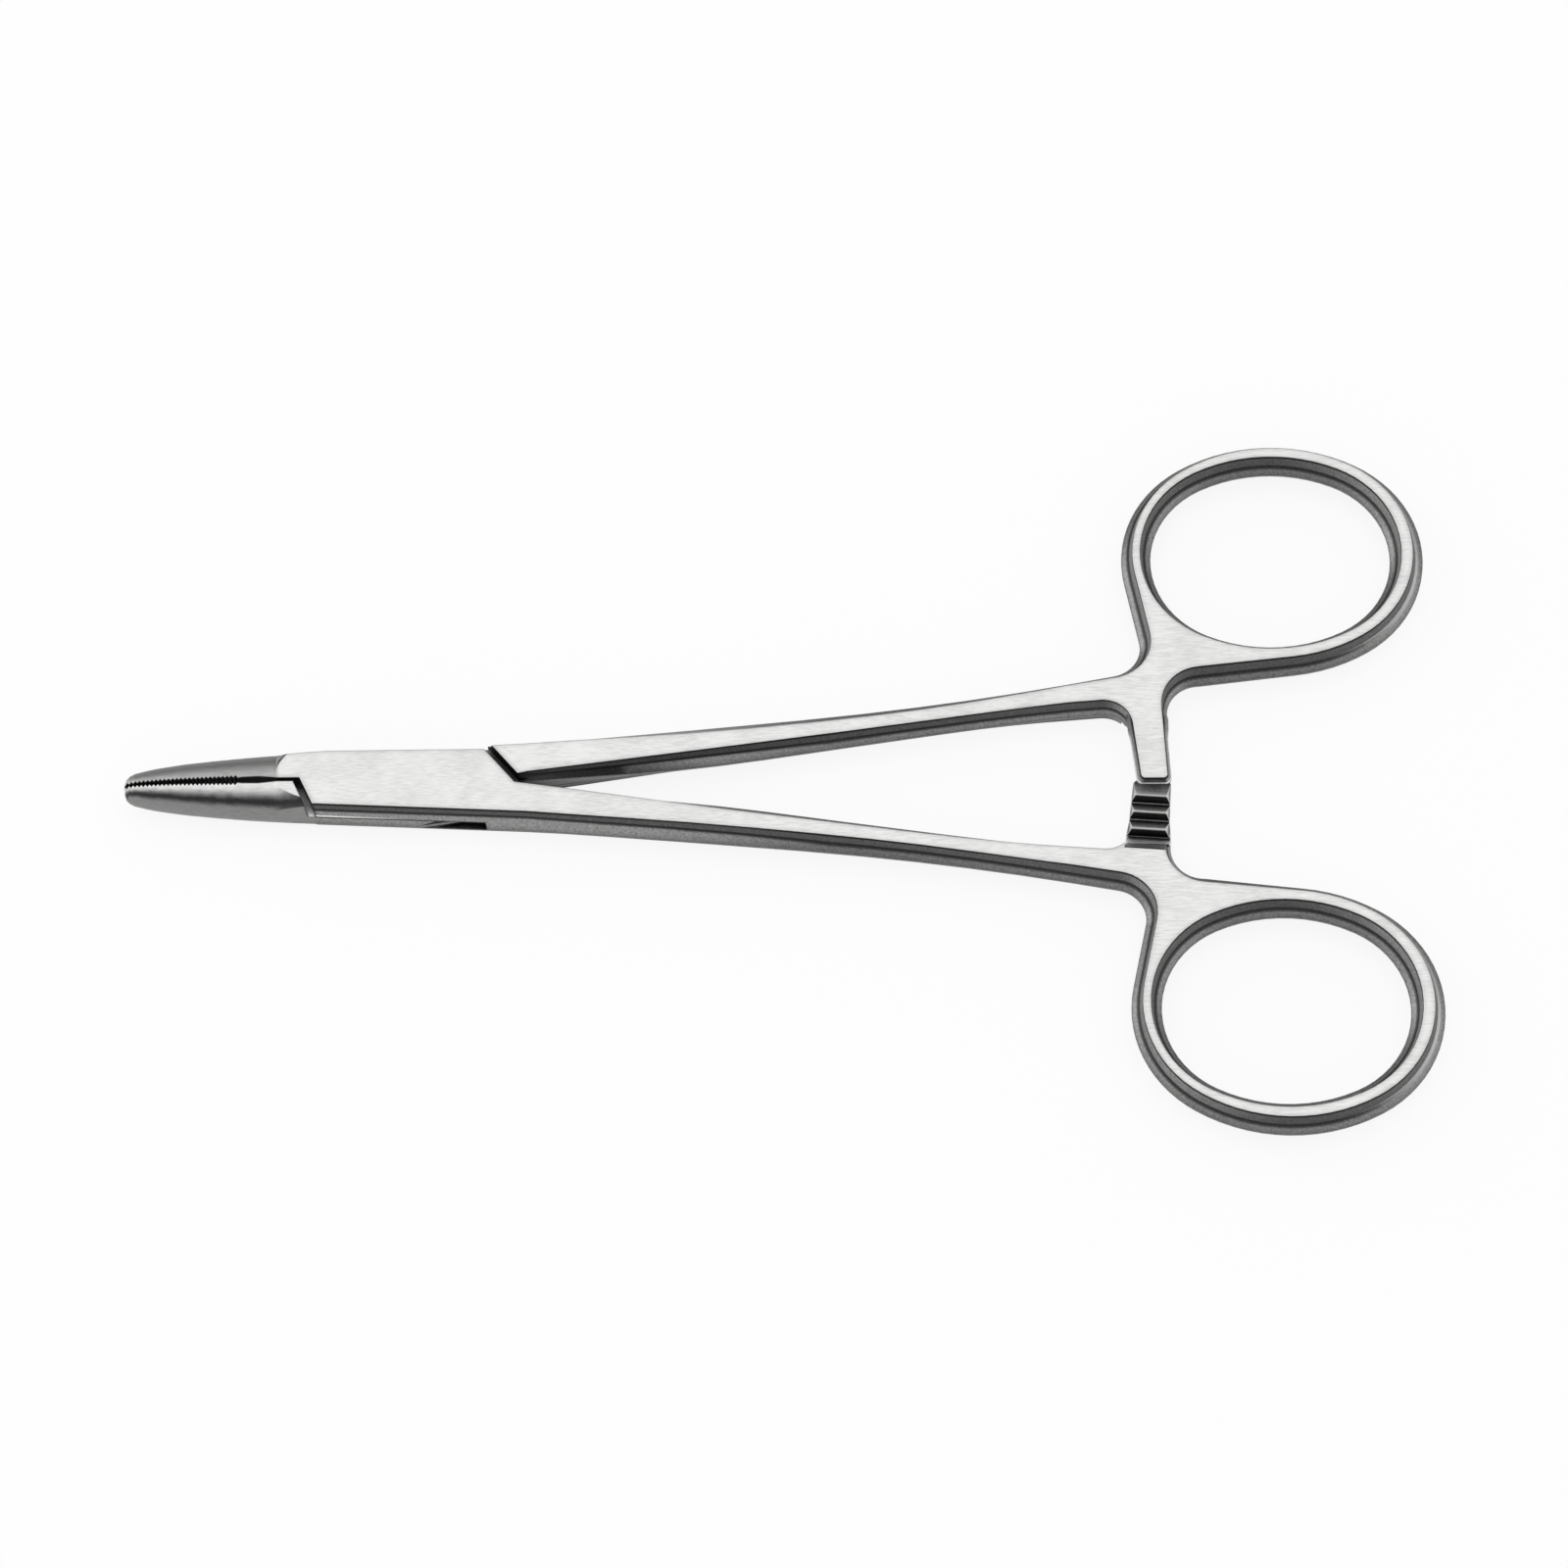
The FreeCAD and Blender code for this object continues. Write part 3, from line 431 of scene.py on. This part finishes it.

    # painted shade in crevices, which on the tongue and the teeth begins a little deeper
    openShare = addNode(tree, "ShaderNodeAmbientOcclusion", {"samples": 8},
                        Distance=finish["crevice"] * mm).outputs["AO"]
    deep = addNode(tree, "ShaderNodeMapRange", smooth, Value=openShare, **zones["crevice"],
                   To_Min=finish["creviceTone"], To_Max=1.0).outputs[0]
    shallow = addNode(tree, "ShaderNodeMapRange", smooth, Value=openShare, **zones["cleared"],
                      To_Min=finish["clearedTone"], To_Max=1.0).outputs[0]
    isCleared = addNode(tree, "ShaderNodeMath", larger, i0=isTeeth, i1=innerBody).outputs[0]
    openness = addNode(tree, "ShaderNodeMix", number, i0=isCleared, i2=deep, i3=shallow).outputs[0]
    shade = addNode(tree, "ShaderNodeMath", times, i0=shade, i1=openness).outputs[0]
    shade = addNode(tree, "ShaderNodeMix", number, i0=isArmRim, i2=shade,
                    i3=finish["lineHighlight"]).outputs[0]
    shade = addNode(tree, "ShaderNodeMix", number, i0=isCrest, i2=shade,
                    i3=finish["lineHighlight"]).outputs[0]

    # the rivet is ground away with the flats, so round it only their grain is seen
    across = addNode(tree, "ShaderNodeCombineXYZ", X=x, Y=y).outputs[0]
    fromPivot = addNode(tree, "ShaderNodeVectorMath", {"operation": "LENGTH"}, i0=across).outputs["Value"]
    isRivet = addNode(tree, "ShaderNodeMath", less, i0=fromPivot, i1=finish["rivet"] * mm).outputs[0]
    isRivet = addNode(tree, "ShaderNodeMath", times, i0=isRivet, i1=isFlat).outputs[0]
    shade = addNode(tree, "ShaderNodeMix", number, i0=isRivet, i2=shade, i3=flatTone).outputs[0]
    colour = addNode(tree, "ShaderNodeMix", colours, i0=shade, i6=(0, 0, 0, 1),
                     i7=linearColour(finish["tint"])).outputs[2]

    rough = addNode(tree, "ShaderNodeMix", number, i0=isFlat, i2=finish["roughness"],
                    i3=finish["flatRoughness"]).outputs[0]
    rough = addNode(tree, "ShaderNodeMath", timesPlus, i0=grain, i1=finish["grainRoughness"],
                    i2=rough).outputs[0]
    soft = addNode(tree, "ShaderNodeBevel", {"samples": 6}, Radius=finish["softEdge"] * mm).outputs[0]
    normal = addNode(tree, "ShaderNodeMix", {"data_type": "VECTOR"}, i0=isRivet, i4=soft,
                     i5=geometry["Normal"]).outputs[1]
    relief = addNode(tree, "ShaderNodeMix", number, i0=isFlat, i2=grit, i3=grain).outputs[0]
    bump = addNode(tree, "ShaderNodeBump", Strength=finish["bumpStrength"],
                   Distance=finish["bumpDepth"] * mm, Height=relief, Normal=normal).outputs[0]
    shader = addNode(tree, "ShaderNodeBsdfPrincipled", Base_Color=colour, Metallic=1.0,
                     Roughness=rough, Normal=bump)
    addNode(tree, "ShaderNodeOutputMaterial", Surface=shader.outputs[0])
    return material


steels = {name: steelMaterial("satin ground stainless " + name.split("_")[0], steelFinish, half)
          for name, half in halves.items()}
steels["pivot_pin"] = steels["box_lock_half"]  # ground flush with the box
for nodeName, material in steels.items():
    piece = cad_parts[nodeName]
    piece.data.materials.clear()
    piece.data.materials.append(material)
print("steel dressed")


# Studio: white floor, even light, a strip lamp and two graded cards that only reflections see.
# Places and sizes are in metres.

studio = {
    "floorSize": 6.0,
    "floorDrop": 0.02,       # mm below the part, so that no two faces share a plane
    "floorColour": "F6F6F6",
    "floorWhite": 0.88,      # share of plain white that camera and reflections see in the floor
    "worldStrength": 0.95,
    "stripPlace": (-0.55, 0.32, 0.30),   # at the left, for the edges that face there
    "stripTarget": (0.04, 0, 0),
    "stripSize": (0.12, 0.5),
    "stripPower": 0.6,       # W
    "cardDark": "161616",
    "cardLight": "DADADA",
}

# extent along each axis, and the heights between which the card goes from dark to light
cards = {
    "backCard": {"x": (-1.4, 1.4), "y": (0.6, 0.6), "z": (0.0, 0.6), "grade": (0.02, 0.5)},
    "cameraCard": {"x": (-0.5, 0.6), "y": (-0.5, -0.25), "z": (0.62, 0.80), "grade": (0.7, 0.95)},
}


def plane(name, corners):
    mesh = bpy.data.meshes.new(name)
    mesh.from_pydata([tuple(c) for c in corners], [], [(0, 1, 2, 3)])
    item = bpy.data.objects.new(name, mesh)
    bpy.context.scene.collection.objects.link(item)
    return item


def addFloor():
    size = studio["floorSize"] / 2
    floor = plane("studioFloor", [(-size, -size, 0), (size, -size, 0), (size, size, 0), (-size, size, 0)])
    floor.location.z = -studio["floorDrop"] * mm
    material, tree = newMaterial("white sweep")
    rays = addNode(tree, "ShaderNodeLightPath").outputs
    seen = addNode(tree, "ShaderNodeMath", larger, i0=rays["Is Camera Ray"],
                   i1=rays["Is Glossy Ray"]).outputs[0]
    seen = addNode(tree, "ShaderNodeMath", larger, i0=seen,
                   i1=rays["Is Transmission Ray"]).outputs[0]
    share = addNode(tree, "ShaderNodeMath", times, i0=seen, i1=studio["floorWhite"]).outputs[0]
    paint = addNode(tree, "ShaderNodeBsdfDiffuse", Color=linearColour(studio["floorColour"]))
    white = addNode(tree, "ShaderNodeEmission", Color=(1, 1, 1, 1), Strength=1.0)
    mixed = addNode(tree, "ShaderNodeMixShader", i0=share, i1=paint.outputs[0], i2=white.outputs[0])
    addNode(tree, "ShaderNodeOutputMaterial", Surface=mixed.outputs[0])
    floor.data.materials.append(material)


def addWorld():
    world = bpy.data.worlds.new("studio")
    bpy.context.scene.world = world
    world.use_nodes = True
    tree = world.node_tree
    tree.nodes.clear()
    light = addNode(tree, "ShaderNodeBackground", Color=(1, 1, 1, 1), Strength=studio["worldStrength"])
    addNode(tree, "ShaderNodeOutputWorld", Surface=light.outputs[0])


def addStrip():
    place, target = Vector(studio["stripPlace"]), Vector(studio["stripTarget"])
    lamp = bpy.data.lights.new("leftStrip", "AREA")
    lamp.shape = "RECTANGLE"
    lamp.size, lamp.size_y = studio["stripSize"]
    lamp.energy = studio["stripPower"]
    item = bpy.data.objects.new("leftStrip", lamp)
    item.location = place
    item.rotation_euler = (target - place).to_track_quat("-Z", "Y").to_euler()
    bpy.context.scene.collection.objects.link(item)


def addCard(name, card):
    (left, right), (front, rear), (bottom, top) = card["x"], card["y"], card["z"]
    low, high = card["grade"]
    item = plane(name, [(left, front, bottom), (right, front, bottom),
                        (right, rear, top), (left, rear, top)])
    material, tree = newMaterial(name)
    place = addNode(tree, "ShaderNodeTexCoord").outputs["Object"]
    rise = addNode(tree, "ShaderNodeSeparateXYZ", Vector=place).outputs["Z"]
    share = addNode(tree, "ShaderNodeMapRange", smooth, Value=rise, From_Min=low,
                    From_Max=high).outputs[0]
    colour = addNode(tree, "ShaderNodeMix", colours, i0=share, i6=linearColour(studio["cardDark"]),
                     i7=linearColour(studio["cardLight"])).outputs[2]
    glow = addNode(tree, "ShaderNodeEmission", Color=colour, Strength=1.0)
    addNode(tree, "ShaderNodeOutputMaterial", Surface=glow.outputs[0])
    item.data.materials.append(material)
    item.visible_camera = False
    item.visible_diffuse = False
    item.visible_transmission = False
    item.visible_shadow = False


addFloor()
addWorld()
addStrip()
for cardName, card in cards.items():
    addCard(cardName, card)
print("studio ready")


# Camera recovered from the photograph: high three-quarter view with a long lens

shot = {
    "azimuth": 3.73,         # degrees
    "elevation": 62.0,
    "roll": -3.79,
    "distance": 589.7,       # mm
    "lookAt": (37.5, 0.18, 2.3),
    "focalPixels": 6038.5,
    "imageWidth": 1600,
    "sensorWidth": 36,       # mm
    "clip": (0.01, 20),      # m
}


def addCamera():
    azimuth, elevation, roll = (math.radians(shot[key]) for key in ("azimuth", "elevation", "roll"))
    forward = Vector((-math.sin(azimuth) * math.cos(elevation),
                      math.cos(azimuth) * math.cos(elevation), -math.sin(elevation)))
    level = Vector((math.cos(azimuth), math.sin(azimuth), 0))
    upright = level.cross(forward)
    right = level * math.cos(roll) + upright * math.sin(roll)
    up = upright * math.cos(roll) - level * math.sin(roll)
    lens = bpy.data.cameras.new("camera")
    lens.sensor_width = shot["sensorWidth"]
    lens.lens = shot["focalPixels"] / shot["imageWidth"] * lens.sensor_width
    lens.clip_start, lens.clip_end = shot["clip"]
    camera = bpy.data.objects.new("camera", lens)
    turn = Matrix((right, up, -forward)).transposed().to_4x4()
    place = (Vector(shot["lookAt"]) - forward * shot["distance"]) * mm
    camera.matrix_world = Matrix.Translation(place) @ turn
    bpy.context.scene.collection.objects.link(camera)
    bpy.context.scene.camera = camera


addCamera()
bpy.context.scene.view_settings.view_transform = "Standard"
print("camera placed")
